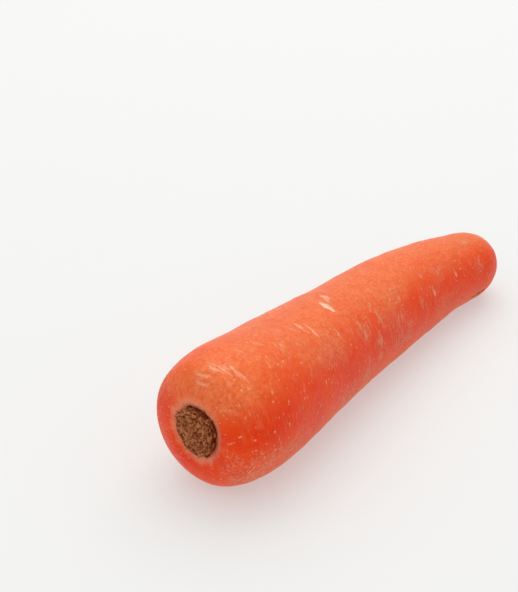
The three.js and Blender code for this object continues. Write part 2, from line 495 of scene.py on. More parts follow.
# Outline of the dead, brown tissue of the crown: radius in millimetres against the angle in degrees from
# the top towards +Y.
DRY_OUTLINE = (
    (-180, 8.0), (-165, 8.4), (-152, 7.8), (-144, 9.2), (-136, 7.3), (-107, 7.1), (-90, 7.0), (-71, 7.4),
    (-50, 7.9), (-21, 8.0), (0, 8.5), (16, 9.0), (25, 9.6), (42, 8.8), (57, 8.7), (66, 9.8), (78, 8.2),
    (100, 8.4), (116, 7.5), (149, 7.3), (165, 7.4), (180, 8.0),
)


def drum(along_mm, around_degrees):
    """The place of a spot on the unrolled skin."""
    return along_mm * MM, math.radians(around_degrees) * DRUM_RADIUS


def seed_points(name, rows, columns):
    """A helper of loose vertices on the unrolled skin: a place and a number for each column in each row."""
    mesh = bpy.data.meshes.new(name)
    mesh.from_pydata([(*drum(*row[:2]), 0.0) for row in rows], [], [])
    for column, numbers in zip(columns, list(zip(*rows))[2:]):
        mesh.attributes.new(column, "FLOAT", "POINT").data.foreach_set("value", numbers)
    return helper(name, mesh)


def mark_seeds():
    rows = []
    for along, around, spread, spread_round, amount, long, wide, strength, slant in MARK_GROUPS:
        spreads = drum(spread, spread_round)
        rows.append((along, around, *spreads, amount, long * MM, wide * MM, strength, slant))
    return seed_points("mark_seeds", rows, MARK_COLUMNS)


def patch_seeds(name, patches):
    return seed_points(name, [(along, around, reach * MM) for along, around, reach in patches], ["reach"])


def attribute(graph, name, kind="FLOAT"):
    return graph.node("GeometryNodeInputNamedAttribute", {"data_type": kind}, {"Name": name})["Attribute"]


def stored(graph, geometry, name, value, kind="FLOAT", domain="POINT"):
    settings = {"data_type": kind, "domain": domain}
    values = {"Geometry": geometry, "Name": name, "Value": value}
    return graph.node("GeometryNodeStoreNamedAttribute", settings, values)()


def moved(graph, geometry, position=None, offset=None):
    values = {"Geometry": geometry}
    if position is not None:
        values["Position"] = position
    if offset is not None:
        values["Offset"] = offset
    return graph.node("GeometryNodeSetPosition", None, values)()


def random_float(graph, low, high, seed):
    values = {"Min": low, "Max": high, "Seed": seed}
    return graph.node("FunctionNodeRandomValue", {"data_type": "FLOAT"}, values)()


def shape_of(graph, thing):
    settings = {"transform_space": "ORIGINAL"}
    return graph.node("GeometryNodeObjectInfo", settings, {"Object": thing})["Geometry"]


def realized(graph, instances):
    return graph.node("GeometryNodeRealizeInstances", None, {"Geometry": instances})()


def welded(graph, geometry):
    return graph.node("GeometryNodeMergeByDistance", None, {"Geometry": geometry, "Distance": WELD})()


def sheet(graph, rows, columns):
    """A sheet of vertices, with how far each is along it, from 0 to 1, and its angle round the piece."""
    sizes = {"Size X": 1.0, "Size Y": 1.0, "Vertices X": rows, "Vertices Y": columns}
    mesh = graph.node("GeometryNodeMeshGrid", None, sizes)["Mesh"]
    u, v, _ = graph.separate(graph.node("GeometryNodeInputPosition"))
    return mesh, u + 0.5, (v + 0.5) * (2 * math.pi)


def on_curve(graph, thing, factor):
    """The Position and the Tangent of a curve at that share of its length."""
    settings = {"mode": "FACTOR", "use_all_curves": False}
    values = {"Curves": shape_of(graph, thing), "Factor": factor}
    return graph.node("GeometryNodeSampleCurve", settings, values)


def cast(graph, target, start, ray, reach):
    """Where rays stop at the target: Hit Position and Hit Distance."""
    values = {"Source Position": start, "Ray Direction": ray, "Ray Length": reach}
    return graph.node("GeometryNodeRaycast", None, {"Target Geometry": shape_of(graph, target), **values})


def mark_lines(graph, seeds, seed):
    """Short, nearly parallel lines on the unrolled skin, scattered round the seed of each group."""
    points = graph.node(
        "GeometryNodeDuplicateElements",
        {"domain": "POINT"},
        {"Geometry": shape_of(graph, seeds), "Amount": attribute(graph, "amount")},
    )["Geometry"]
    over = random_float(graph, -1.0, 1.0, seed + 1) * attribute(graph, "spread_around")
    along = random_float(graph, -1.0, 1.0, seed) * attribute(graph, "spread_along")
    away = graph.combine(along + over * attribute(graph, "slant"), over, 0.0)
    points = moved(graph, points, offset=away)
    step = (0, 1 / (MARK_POINTS - 1), 0)
    line = graph.node(
        "GeometryNodeMeshLine",
        {"mode": "OFFSET"},
        {"Count": MARK_POINTS, "Start Location": (0, -0.5, 0), "Offset": step},
    )
    _, reach, _ = graph.separate(graph.node("GeometryNodeInputPosition"))
    line = stored(graph, line, "taper", 1 - MARK_TAPER * reach * reach)
    size = attribute(graph, "mark_length") * random_float(graph, 0.5, 1.2, seed + 2)
    scale = graph.combine(1.0, size, 1.0)
    lean = random_float(graph, -0.05, 0.05, seed + 3) - attribute(graph, "slant")
    lines = graph.node(
        "GeometryNodeInstanceOnPoints",
        None,
        {"Points": points, "Instance": line, "Rotation": graph.combine(0.0, 0.0, lean), "Scale": scale},
    )
    real = realized(graph, lines)
    place = graph.node("GeometryNodeInputPosition")()
    wave = (graph.noise(place, MARK_WAVE_SCALE, 1.0) - 0.5) * MARK_WAVE
    return moved(graph, real, offset=graph.combine(wave, 0.0, 0.0))


def nearest(graph, geometry, place, domain, name):
    """The value of a named attribute at the part of the geometry that lies nearest to the place."""
    values = {"Geometry": geometry, "Sample Position": place}
    index = graph.node("GeometryNodeSampleNearest", {"domain": domain}, values)
    settings = {"data_type": "FLOAT", "domain": domain}
    values = {"Geometry": geometry, "Value": attribute(graph, name), "Index": index}
    return graph.node("GeometryNodeSampleIndex", settings, values)()


def distance_to(graph, geometry, place, element):
    values = {"Geometry": geometry, "Sample Position": place}
    return graph.node("GeometryNodeProximity", {"target_element": element}, values)["Distance"]


# ---- the taproot's skin ------------------------------------------------------------------------------

RAY_LENGTH = 0.2  # longer than the way from the centre line to any part of the skin
LUMP_SCALE = 38.0  # lumps for each metre, and so on
RIPPLE_SCALE = 95.0
RIPPLE_PATCH_SCALE = 45.0
RAGGED_SCALE = 130.0
TAIL_DEPTH = 0.5 * MM
SPECK_HEIGHT = 0.05 * MM
SMOOTH_END = (-9 * MM, -2 * MM)  # distances behind the crown's lip between which the relief fades out


def skin_graph(values):
    """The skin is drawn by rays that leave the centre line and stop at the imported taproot."""
    graph, given = geometry_tree("Taproot skin", values)
    skin, along, around = sheet(graph, given["Rows"] + 1, given["Columns"] + 1)

    # The ends are fans of rays, the stretch between them is rays square to the centre line.
    crown_turn = graph.clamp(along / CROWN_SHARE)
    tip_turn = graph.clamp((along - (1 - TIP_SHARE)) / TIP_SHARE)
    run = graph.clamp((along - CROWN_SHARE) / (1 - CROWN_SHARE - TIP_SHARE))
    line = on_curve(graph, given["Centre line"], run)
    tangent = line["Tangent"]
    side = graph.vector("NORMALIZE", graph.vector("CROSS_PRODUCT", (0, 0, 1), tangent))
    top = graph.vector("CROSS_PRODUCT", tangent, side)
    across = graph.weighted((top, graph.cos(around)), (side, graph.sin(around)))
    lean = (crown_turn + tip_turn) * (math.pi / 2)
    ray = graph.weighted((across, graph.sin(lean)), (tangent, -graph.cos(lean)))
    hit = cast(graph, given["Root"], line["Position"], ray, RAY_LENGTH)["Hit Position"]

    # Distance along the skin from the crown, metric on the ends too.
    body = (ROOT_HIGH.x - ROOT_LOW.x) - CROWN_FAN_DEPTH - TIP_FAN_DEPTH
    distance = (
        CROWN_FAN_DEPTH
        + run * body
        - (1 - crown_turn) * (CROWN_FAN_DEPTH * math.pi / 2)
        + tip_turn * (TIP_FAN_DEPTH * math.pi / 2)
    )
    place = graph.combine(graph.cos(around) * DRUM_RADIUS, graph.sin(around) * DRUM_RADIUS, distance)
    skin = stored(graph, skin, "skin_place", place, "FLOAT_VECTOR")
    skin = moved(graph, skin, position=hit)
    skin = welded(graph, skin)
    relaxed = graph.node(
        "GeometryNodeBlurAttribute",
        {"data_type": "FLOAT_VECTOR"},
        {"Value": graph.node("GeometryNodeInputPosition"), "Iterations": given["Smoothing"]},
    )
    skin = moved(graph, skin, position=relaxed)

    # The unrolled place of each vertex, where the marks are laid out.
    place = attribute(graph, "skin_place", "FLOAT_VECTOR")
    up, over, distance = graph.separate(place)
    turn = graph.math("ARCTAN2", over, up)
    flat = graph.combine(distance, turn * DRUM_RADIUS, 0.0)
    lines = mark_lines(graph, given["Mark seeds"], given["Seed"])
    width = nearest(graph, lines, flat, "EDGE", "mark_width") * nearest(graph, lines, flat, "EDGE", "taper")
    gap = distance_to(graph, lines, flat, "EDGES") / width
    mark = graph.ease(gap, 1.15, 0.25) * nearest(graph, lines, flat, "EDGE", "strength")
    skin = stored(graph, skin, "marks", mark)
    ragged = graph.noise(place, RAGGED_SCALE, 3.0, 0.6) - 0.5
    for label, name, wander in PATCH_KINDS:
        patches = shape_of(graph, given[label])
        reach = nearest(graph, patches, flat, "POINT", "reach")
        share = distance_to(graph, patches, flat, "POINTS") / reach + ragged * wander
        skin = stored(graph, skin, name, graph.ease(share, 1.0, 0.1))

    # Relief: broad lumps, fine cross ripples that come and go, and a furrow at each mark.
    squeezed = graph.vector("MULTIPLY", place, (0.8, 0.8, 1.9))
    lumps = (graph.noise(squeezed, LUMP_SCALE, 2.0) - 0.5) * 2.0 * given["Lumps"]
    squeezed = graph.vector("MULTIPLY", place, (1.0, 1.0, 5.0))
    ripples = (graph.noise(squeezed, RIPPLE_SCALE, 2.0) - 0.5) * 2.0 * given["Ripples"]
    come_and_go = graph.ease(graph.noise(place, RIPPLE_PATCH_SCALE, 1.0), 0.4, 0.65)
    ends = graph.ease(distance, *SMOOTH_END)
    relief = (lumps + ripples * (0.35 + come_and_go)) * ends
    relief = relief - graph.clamp(attribute(graph, "marks"), 0.0, 0.9) * given["Furrow depth"]
    relief = relief - attribute(graph, "tail") * TAIL_DEPTH + attribute(graph, "speck") * SPECK_HEIGHT
    normal = graph.node("GeometryNodeInputNormal")()
    skin = moved(graph, skin, offset=graph.scaled(normal, relief))
    x, y, z = graph.separate(graph.node("GeometryNodeInputPosition"))
    skin = moved(graph, skin, position=graph.combine(x, y, graph.math("MAXIMUM", z, ROOT_LOW.z)))
    finish_tree(graph, skin, given["Material"])
    return graph


# ---- the crown's dry stub ------------------------------------------------------------------------------

OUTLINE_POINTS = 240
DRY_DEPTH = 6 * MM  # nothing on the skin this far behind the stub's underside is dry
NEVER_DRY = -20 * MM
RAY_START = 12 * MM  # how far above the stub's underside the rays that find the hollow start
RAY_DEPTH = 30 * MM  # and how far down they reach
STUB_SEGMENTS, STUB_RINGS = 264, 170
CRUST = 0.12 * MM  # thickness of the crust before its relief
BED = 0.15 * MM  # how far the stub's hidden side lies under the root's surface
RIM_SHADOW_TURN = math.radians(40)  # the painted shadow in the ring round the stub is darkest this far from the top towards -Y
CRUMBS, CRUMB_GRAIN, SWELLS = 820.0, 900.0, 440.0  # for each metre


def dry_radius(turn):
    """Radius of the dead tissue at that angle in radians, in metres."""
    degrees, radii = zip(*DRY_OUTLINE)
    return np.interp(np.degrees(turn), degrees, radii) * MM


def dry_outline():
    """The outline's points in the crown's own frame."""
    turns = np.linspace(-math.pi, math.pi, OUTLINE_POINTS, endpoint=False)
    return [(dry_radius(turn) * math.cos(turn), dry_radius(turn) * math.sin(turn), 0.0) for turn in turns]


def paint_dryness(skin):
    """Stores on the skin how far each vertex lies inside the dead tissue's outline, in metres."""
    points = in_crown_frame(coordinates(skin.data))
    inside = dry_radius(np.arctan2(points[:, 1], points[:, 0])) - np.hypot(points[:, 0], points[:, 1])
    inside[points[:, 2] < -DRY_DEPTH] = NEVER_DRY
    skin.data.attributes.new("dry", "FLOAT", "POINT").data.foreach_set("value", inside)


def stub_graph(values):
    """A corky crust that fills the hollow of the crown and laps over its lip, in the root's own frame."""
    graph, given = geometry_tree("Crown stub", values)
    facets = {"Segments": STUB_SEGMENTS, "Rings": STUB_RINGS, "Radius": 1.0}
    ball = graph.node("GeometryNodeMeshUVSphere", None, facets)["Mesh"]
    x, y, z = graph.separate(graph.node("GeometryNodeInputPosition"))
    share = graph.math("SQRT", x * x + y * y)
    turn = graph.math("ARCTAN2", y, x) / (2 * math.pi) + 0.5
    edge_x, edge_y, _ = graph.separate(on_curve(graph, given["Outline"], turn)["Position"])
    ragged = graph.noise(graph.combine(x, y, given["Seed"] * 3.7), 7.0, 3.0, 0.65) - 0.5
    stretch = share * (1 + ragged * 0.16)
    at_up, at_side = edge_x * stretch, edge_y * stretch
    base = graph.weighted((given["Up"], at_up), (given["Side"], at_side))
    base = graph.vector("ADD", base, given["Middle"])
    above = graph.vector("ADD", base, graph.scaled(given["Out"], RAY_START))
    down = graph.scaled(given["Out"], -1.0)
    ground = RAY_START - cast(graph, given["Root"], above, down, RAY_DEPTH)["Hit Distance"]

    # Corky crumbs in rings of dead fibre, a low nub with a pit, and an edge that thins out over the lip.
    spot = graph.combine(at_up, at_side, given["Seed"] * 0.37)
    crumb = graph.cells(spot, CRUMBS)["Distance"]
    grain = graph.noise(spot, CRUMB_GRAIN, 4.0, 0.7) - 0.5
    swell = graph.noise(spot, SWELLS, 4.0, 0.65) - 0.5
    ring = graph.noise(graph.combine(share * 11.0, turn * 26.0, given["Seed"]), 1.0, 3.0, 0.6) - 0.5
    nub = graph.ease(share, 0.45, 0.12) * 0.9 - graph.ease(share, 0.13, 0.02) * 1.3
    rough = (0.45 - crumb) * 0.9 + grain * 1.6 + swell * 2.2 + ring * 1.8
    thick = graph.ease(share, 1.0, 0.90)
    level = graph.math("MAXIMUM", ground, given["Lip"] - given["Fill"])
    crust = level + CRUST + given["Relief"] * (rough * thick + nub)
    upper = graph.ease(z, 0.0, 0.10)
    height = (ground - BED) * (1 - upper) + crust * upper
    shaped = graph.vector("ADD", base, graph.scaled(given["Out"], height))
    broken = graph.noise(graph.combine(turn * 22.0, share * 3.0, given["Seed"]), 1.0, 2.0)
    broken = graph.ease(broken, 0.36, 0.56)
    # A painted shadow: a broken dark ring near the stub's edge, in the groove at the lip, darkest on one
    # side.
    shaded = 0.45 + 0.55 * graph.cos((turn - 0.5) * (2 * math.pi) + RIM_SHADOW_TURN)
    painted_rim_shadow = graph.ease(share, 0.74, 0.88) * broken * graph.math("MAXIMUM", shaded, 0.15)
    tone = 0.50 + (0.42 - crumb) * 1.3 + grain * 2.2 + swell * 2.4 + ring * 2.0 - painted_rim_shadow * 0.45
    stub = stored(graph, ball, "height", graph.clamp(tone))
    stub = stored(graph, stub, "share", share)
    stub = moved(graph, stub, position=shaped)
    hairs = dead_fibres(graph, stub, given, given["Out"])
    finish_tree(graph, joined(graph, stub, hairs), given["Material"])
    return graph


FIBRE_TIP = 0.02 * MM  # radius at the loose end
FIBRE_ROOT = 0.085 * MM  # radius at the fast end
FIBRE_BEND = 260.0  # how far a fibre bows, in metres for each square metre of its height
FIBRE_STAND = 0.35  # 0 lets fibres point any way, more turns them out of the crown
FIBRE_FACING = 0.45  # faces that look outwards at least this squarely, from 0 to 1, carry fibres


def joined(graph, *geometries):
    node = graph.node("GeometryNodeJoinGeometry")
    for geometry in geometries:
        graph.tree.links.new(geometry.socket, node.node.inputs["Geometry"])
    return node()


def dead_fibres(graph, body, given, out):
    """Short dry fibres that stand at all slants on the faces of the body that look outwards."""
    normal = graph.node("GeometryNodeInputNormal")
    facing = graph.node("ShaderNodeVectorMath", {"operation": "DOT_PRODUCT"}, {0: normal, 1: out})["Value"]
    points = graph.node(
        "GeometryNodeDistributePointsOnFaces",
        {"distribute_method": "RANDOM"},
        {
            "Mesh": body,
            "Selection": graph.math("GREATER_THAN", facing, FIBRE_FACING),
            "Density": given["Fibres"] / (MM * MM),
            "Seed": given["Seed"],
        },
    )["Points"]
    fibre = graph.node(
        "GeometryNodeMeshCone",
        {"fill_type": "NGON"},
        {
            "Vertices": 5,
            "Side Segments": 3,
            "Fill Segments": 1,
            "Radius Top": FIBRE_TIP,
            "Radius Bottom": FIBRE_ROOT,
            "Depth": MM,
        },
    )["Mesh"]
    _, _, z = graph.separate(graph.node("GeometryNodeInputPosition"))
    bent = moved(graph, fibre, offset=graph.combine(z * z * FIBRE_BEND, 0.0, 0.0))
    aim = graph.node(
        "FunctionNodeRandomValue",
        {"data_type": "FLOAT_VECTOR"},
        {"Min": (-1.0, -1.0, -1.0), "Max": (1.0, 1.0, 1.0), "Seed": given["Seed"] + 1},
    )()
    aim = graph.vector("ADD", aim, graph.scaled(out, FIBRE_STAND))
    turned = graph.node("FunctionNodeAlignRotationToVector", {"axis": "Z"}, {"Vector": aim})
    size = random_float(graph, 0.3, 1.0, given["Seed"] + 4)
    fibres = graph.node(
        "GeometryNodeInstanceOnPoints",
        None,
        {
            "Points": points,
            "Instance": bent,
            "Rotation": turned,
            "Scale": graph.combine(1.0, 1.0, size * given["Fibre length"] / MM),
        },
    )
    tone = random_float(graph, 0.15, 1.0, given["Seed"] + 5)
    fibres = stored(graph, fibres, "height", tone, domain="INSTANCE")
    return realized(graph, fibres)


# ---- the torn bases of the leaf stalks -----------------------------------------------------------------

STALK_ROWS, STALK_COLUMNS = 72, 37
STALK_THICKNESS = 1.2 * MM
STALK_FOOT = 0.6 * MM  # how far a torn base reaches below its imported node, into the stub


def stalk_graph(values):
    """A crescent wall with a torn top edge, and fibres that stand out of the tear."""
    graph, given = geometry_tree("Leaf stalk base", values)
    tube, along, around = sheet(graph, STALK_ROWS, STALK_COLUMNS)
    bend = (along - 0.5) * 2.0
    swell = graph.math("SQRT", graph.math("MAXIMUM", 1 - bend * bend, 0.0))
    angle = given["Start angle"] + along * given["Sweep"]
    seed = given["Seed"] * 1.31
    strand = graph.noise(graph.combine(along * 9.0, seed, 0.0), 1.0, 4.0, 0.7) - 0.5
    wall = graph.noise(graph.combine(along * 5.0, graph.cos(around), seed), 1.6, 3.0) - 0.5
    out = graph.cos(around) * given["Thickness"] * (0.5 + 0.5 * wall) * swell
    lift = graph.sin(around)
    middle = (given["Foot"] + given["Top"]) * 0.5
    half = (given["Top"] - given["Foot"]) * 0.5
    torn = 1 + strand * 1.1 * graph.ease(lift, -0.2, 0.8)
    height = middle + lift * half * swell ** 0.6 * torn
    ring = given["Middle radius"] + out + wall * (0.5 * MM)
    place = graph.combine(graph.cos(angle) * ring, graph.sin(angle) * ring, height)
    body = stored(graph, tube, "height", graph.clamp(0.35 + strand * 0.9 + lift * 0.25))
    body = moved(graph, body, position=place)
    body = welded(graph, body)

    hairs = dead_fibres(graph, body, given, (0.0, 0.0, 1.0))
    finish_tree(graph, joined(graph, body, hairs), given["Material"])
    return graph


# ---- finishes ------------------------------------------------------------------------------------------


def new_material(name):
    material = bpy.data.materials.new(name)
    material.use_nodes = True
    material.node_tree.nodes.clear()
    return material, Graph(material.node_tree)


def finish_material(graph, settings, height, relief):
    """One Principled shader with its own constants, and a bump of that relief in metres."""
    bump = graph.node("ShaderNodeBump", None, {"Height": height, "Distance": relief, "Strength": 1.0})
    shader = graph.node("ShaderNodeBsdfPrincipled", None, {**settings, "Normal": bump})
    graph.node("ShaderNodeOutputMaterial", None, {"Surface": shader})


def read(graph, name, output="Fac"):
    return graph.node("ShaderNodeAttribute", {"attribute_type": "GEOMETRY", "attribute_name": name})[output]


# Scales of the patterns in the materials, in cycles or cells for each metre.
CLOUDS, BLOTCHES, MOTTLE, FINE_GRAIN = 55.0, 240.0, 800.0, 1700.0
STREAKS, STREAK_PATCHES, CRACKLE, EDGE_WOBBLE = 230.0, 75.0, 900.0, 700.0
CORK_BLOTCHES, CORK_GRAIN, STALK_BLOTCHES, STALK_GRAIN, PAPER_TOOTH = 640.0, 1200.0, 480.0, 1500.0, 900.0
FINE_SPECKS, COARSE_SPECKS, DASHES, DASH_CLUSTERS = 540.0, 290.0, 300.0, 85.0
SKIN_RELIEF, CORK_RELIEF, STALK_RELIEF = 0.30 * MM, 0.18 * MM, 0.15 * MM  # heights of the bumps
PAPER_RELIEF = 0.01 * MM
DRY_IOR = 1.22  # low, because light scatters rather than gleams on loose dry fibre


def skin_material(look):
    """Orange flesh, mottled and streaked, with marks, specks, scuffs and the dead edge of the crown."""
    material, graph = new_material("carrot_skin")
    place = read(graph, "skin_place", "Vector")
    marks = read(graph, "marks")
    scuff = read(graph, "scuff")
    tail = read(graph, "tail")
    dry = read(graph, "dry") / MM
    pale = rgba(look.pale)
    top, _, along = graph.separate(graph.scaled(place, 1 / DRUM_RADIUS))
    across = graph.vector("MULTIPLY", place, (1.0, 1.0, 4.0))

    # The flesh itself: broad clouds, a painted sheen that makes the upper side paler and yellower, a fine
    # mottle and fine cross streaks.
    cloud = graph.noise(place, CLOUDS)
    blotch = graph.noise(place, BLOTCHES, 3.0, 0.6)
    mottle = graph.noise(place, MOTTLE, 3.0, 0.65)
    streak = graph.noise(across, STREAKS, 3.0, 0.65)
    brushed = graph.ease(streak, 0.47, 0.62)
    flank = graph.ease(top, 0.15, -0.65) * graph.ease(along, 0.0, 0.6)
    deep_mask = 0.45 + (cloud - 0.5) * 1.8 + (blotch - 0.5) * 1.3 + (mottle - 0.5) * 1.3
    base = graph.mix(rgba(look.flesh), rgba(look.deep), graph.clamp(deep_mask))
    upper = graph.ease(top + (cloud - 0.5) * 1.0, 0.35, 1.0)
    # Painted sheen: the upper side turns a paler, yellower orange in place of the broad highlight from
    # above.
    painted_sheen = graph.clamp(upper * (0.72 + (mottle - 0.5) * 1.4 + (blotch - 0.5) * 0.8))
    base = graph.mix(base, rgba(look.light), painted_sheen)
    here_and_there = graph.ease(graph.noise(place, STREAK_PATCHES) + upper * 0.06, 0.52, 0.66)
    brushed_here = brushed * here_and_there
    base = graph.mix(base, pale, brushed_here * 0.13)

    # Pale specks, and short cross dashes that come in clusters.
    fine_cell = graph.cells(place, FINE_SPECKS)
    fine_size = graph.separate(fine_cell["Color"])[0]
    fine_speck = graph.ease(fine_cell["Distance"], fine_size * 0.26 + 0.07, 0.05)
    coarse_cell = graph.cells(graph.vector("MULTIPLY", place, (1.0, 1.0, 1.4)), COARSE_SPECKS)
    coarse_size = graph.separate(coarse_cell["Color"])[1]
    coarse_speck = graph.ease(coarse_cell["Distance"], coarse_size ** 2 * 0.17 + 0.04, 0.02)
    dash_cell = graph.cells(across, DASHES)
    dash_size = graph.separate(dash_cell["Color"])[1]
    dash = graph.ease(dash_cell["Distance"], dash_size * 0.38 + 0.06, 0.05)
    cluster = graph.ease(graph.noise(place, DASH_CLUSTERS), 0.46, 0.62)
    crowd = graph.math("MAXIMUM", cluster * 0.6, scuff + flank * 0.6)
    dash = dash * graph.clamp(0.14 + crowd * 0.9)
    speck = fine_speck * (0.40 + fine_size * 0.6) + coarse_speck * (0.5 + coarse_size * 0.5)

    # The skin between them is uneven in depth, and a painted shadow lies just beside each mark.
    fine = graph.noise(place, FINE_GRAIN, 3.0, 0.6)
    # Painted shadow: the skin is darkened in a thin band along each side of a mark.
    painted_mark_shadow = graph.ease(marks, 0.02, 0.25) * graph.ease(marks, 0.60, 0.30)
    shade = 1.0 + (mottle - 0.5) * 0.34 + (fine - 0.5) * 0.16 + (blotch - 0.5) * 0.16
    # Painted light: the lower sides are brightened in place of light thrown up from the pale ground.
    base = graph.scaled(base, shade - painted_mark_shadow * 0.08 + flank * 0.08)
    specks = graph.clamp(speck + dash * (0.6 + flank * 0.3) + read(graph, "speck"))
    base = graph.mix(base, pale, specks)
    mark_grain = graph.clamp(marks * (0.80 + brushed * 0.20 + (mottle - 0.5) * 1.2))
    base = graph.mix(base, pale, mark_grain)
    base = graph.mix(base, rgba(look.healed), graph.ease(marks + (mottle - 0.5) * 1.6, 0.90, 1.45))

    # Scuffs: whitish flakes over a thin bloom, thickest on the sides near the ground. The pale on those
    # lower sides is partly scuffed skin and partly a painted reflection of the pale ground.
    crackle = graph.noise(graph.vector("MULTIPLY", place, (1.0, 1.0, 2.0)), CRACKLE, 3.0, 0.7)
    crackle = graph.ease(crackle, 0.50, 0.58)
    # Painted reflection of the pale ground: an even pale wash over the lower sides.
    base = graph.mix(base, pale, flank * 0.17)
    film = graph.clamp(scuff * (0.45 + flank * 0.55) + flank * 0.50)
    worn = graph.clamp(film * (crackle * 0.70 + (blotch - 0.5) * 1.2))
    base = graph.mix(base, rgba(look.scuff), worn)

    # The thin skin round the crown, its dead edge, and the withered side roots.
    wobble = (graph.noise(place, EDGE_WOBBLE, 3.0) - 0.5) * 2.2
    halo = graph.ease(dry + wobble, -4.4, -1.0)
    base = graph.mix(base, rgba(look.rim), halo * 0.9)
    flecks = graph.ease(dry, -2.2, -0.5) * graph.ease(blotch, 0.56, 0.64) * 0.8
    dead = graph.math("MAXIMUM", graph.ease(dry + wobble * 0.8, -0.35, 0.25), flecks)
    brown = graph.mix(rgba(look.scar), rgba([3.2 * c for c in look.scar]), graph.ease(mottle, 0.4, 0.6))
    base = graph.mix(base, brown, graph.clamp(dead + graph.ease(tail + (mottle - 0.5) * 0.5, 0.25, 0.6)))

    roughness = 0.40 + (blotch - 0.5) * 0.2 + mark_grain * 0.15 + worn * 0.25
    roughness = roughness + flank * 0.12 + halo * 0.2 + dead * 0.2
    height = fine * 0.3 + mottle * 1.2 + brushed_here * 0.3 + blotch * 2.0
    height = height + mark_grain * 0.6 + specks * 0.8 + crackle * film * 0.6
    finish_material(
        graph,
        {
            "Base Color": base,
            "Roughness": graph.clamp(roughness, 0.2, 0.9),
            "IOR": 1.35,
            "Specular Tint": (1.0, 0.82, 0.32, 1.0),
            "Subsurface Weight": 0.2,
            "Subsurface Radius": (1.0, 0.25, 0.08),
            "Subsurface Scale": 1.4 * MM,
        },
        height,
        SKIN_RELIEF,
    )
    return material


def cork_material(look):
    """Dry tan cork that turns dark in its cracks and at its broken edge."""
    material, graph = new_material("dry_crown")
    place = graph.node("ShaderNodeTexCoord")["Object"]
    depth = read(graph, "height")
    share = read(graph, "share")
    blotch = graph.noise(place, CORK_BLOTCHES, 4.0, 0.6)
    grain = graph.noise(place, CORK_GRAIN, 3.0, 0.6)
    tone = graph.clamp(depth + (blotch - 0.5) * 0.7 + (grain - 0.5) * 0.5)
    dark = graph.mix(rgba(look.pit), rgba(look.stalk), graph.ease(tone, 0.08, 0.34))
    base = graph.mix(dark, rgba(look.cork), graph.ease(tone, 0.28, 0.66))
    edge = graph.ease(share + (blotch - 0.5) * 0.7, 0.88, 1.02)
    base = graph.mix(base, rgba(look.pit), edge * graph.ease(blotch, 0.60, 0.46))
    finish_material(
        graph,
        {"Base Color": base, "Roughness": graph.clamp(0.85 + (grain - 0.5) * 0.2), "IOR": DRY_IOR},
        grain + blotch,
        CORK_RELIEF,
    )
    return material


def stalk_material(look):
    """Torn red-brown fibre, tan where it stands up and dark in its clefts."""
    material, graph = new_material("dry_leaf_stalk")
    place = graph.node("ShaderNodeTexCoord")["Object"]
    depth = read(graph, "height")
    blotch = graph.noise(place, STALK_BLOTCHES, 3.0, 0.6)
    grain = graph.noise(place, STALK_GRAIN, 3.0, 0.6)
    tone = graph.clamp(depth * 0.8 + (blotch - 0.5) * 1.7 + (grain - 0.5) * 0.8)
    dark = graph.mix(rgba(look.pit), rgba(look.stalk), graph.ease(tone, 0.22, 0.52))
    base = graph.mix(dark, rgba(look.cork), graph.ease(tone, 0.50, 0.85) * 0.9)
    finish_material(
        graph,
        {"Base Color": base, "Roughness": graph.clamp(0.82 + (grain - 0.5) * 0.2), "IOR": DRY_IOR},
        grain + blotch,
        STALK_RELIEF,
    )
    return material


def paper_material(look):
    """The matt diffusing sheet of a light table."""
    material, graph = new_material("light_table")
    place = graph.node("ShaderNodeTexCoord")["Object"]
    tooth = graph.noise(place, PAPER_TOOTH)
    paper = [c * (1 - look.glow) for c in look.paper]
    shade = graph.mix(rgba(paper), rgba([0.985 * c for c in paper]), tooth)
    finish = {
        "Base Color": shade,
        "Roughness": 0.9,
        "IOR": 1.1,
        "Emission Color": rgba(look.paper),
        "Emission Strength": look.glow,
    }
    finish_material(graph, finish, tooth, PAPER_RELIEF)
    return material


# ---- operators ------------------------------------------------------------------------------------------


class CARROT_OT_taproot(bpy.types.Operator):
    """Build the taproot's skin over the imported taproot"""

    bl_idname = "carrot.taproot"
    bl_label = "Taproot"

    def execute(self, context):
        look = context.scene.carrot_skin
        helpers = {
            "Centre line": curve_through("centre_line", centre_line()),
            "Mark seeds": mark_seeds(),
            "Scuff seeds": patch_seeds("scuff_seeds", SCUFF_PATCHES),
            "Tail seeds": patch_seeds("tail_seeds", TAIL_SCARS),
            "Speck seeds": patch_seeds("speck_seeds", BRIGHT_SPECKS),
        }
        values = {
            **helpers,
            "Root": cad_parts["taproot"],
            "Rows": look.rows,
            "Columns": look.columns,
            "Smoothing": look.smoothing,
            "Lumps": look.lumps,
            "Ripples": look.ripples,
            "Furrow depth": look.furrow,
            "Seed": look.seed,
            "Material": skin_material(look),
        }
        skin = grown("taproot_skin", skin_graph(values), values)
        for thing in helpers.values():
            bpy.data.objects.remove(thing)
        paint_dryness(skin)
        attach(skin, "root")
        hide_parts("taproot")
        return {"FINISHED"}


class CARROT_OT_crown_stub(bpy.types.Operator):
    """Build the dry corky stub in the hollow of the crown"""

    bl_idname = "carrot.crown_stub"
    bl_label = "Crown stub"

    def execute(self, context):
        look = context.scene.carrot_crown
        outline = curve_through("dry_outline", dry_outline(), closed=True)
        matrix = crown_matrix()
        values = {
            "Root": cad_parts["taproot"],
            "Outline": outline,
            "Middle": list(matrix.translation),
            "Up": list(matrix.col[0].xyz),
            "Side": list(matrix.col[1].xyz),
            "Out": list(matrix.col[2].xyz),
            "Lip": lip_height(),
            "Fill": look.fill,
            "Relief": look.relief,
            "Fibres": look.fibres,
            "Fibre length": look.fibre_length,
            "Seed": look.seed,
            "Material": cork_material(look),
        }
        stub = grown("crown_stub_cork", stub_graph(values), values)
        bpy.data.objects.remove(outline)
        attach(stub, "root")
        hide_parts("crown_stub")
        return {"FINISHED"}


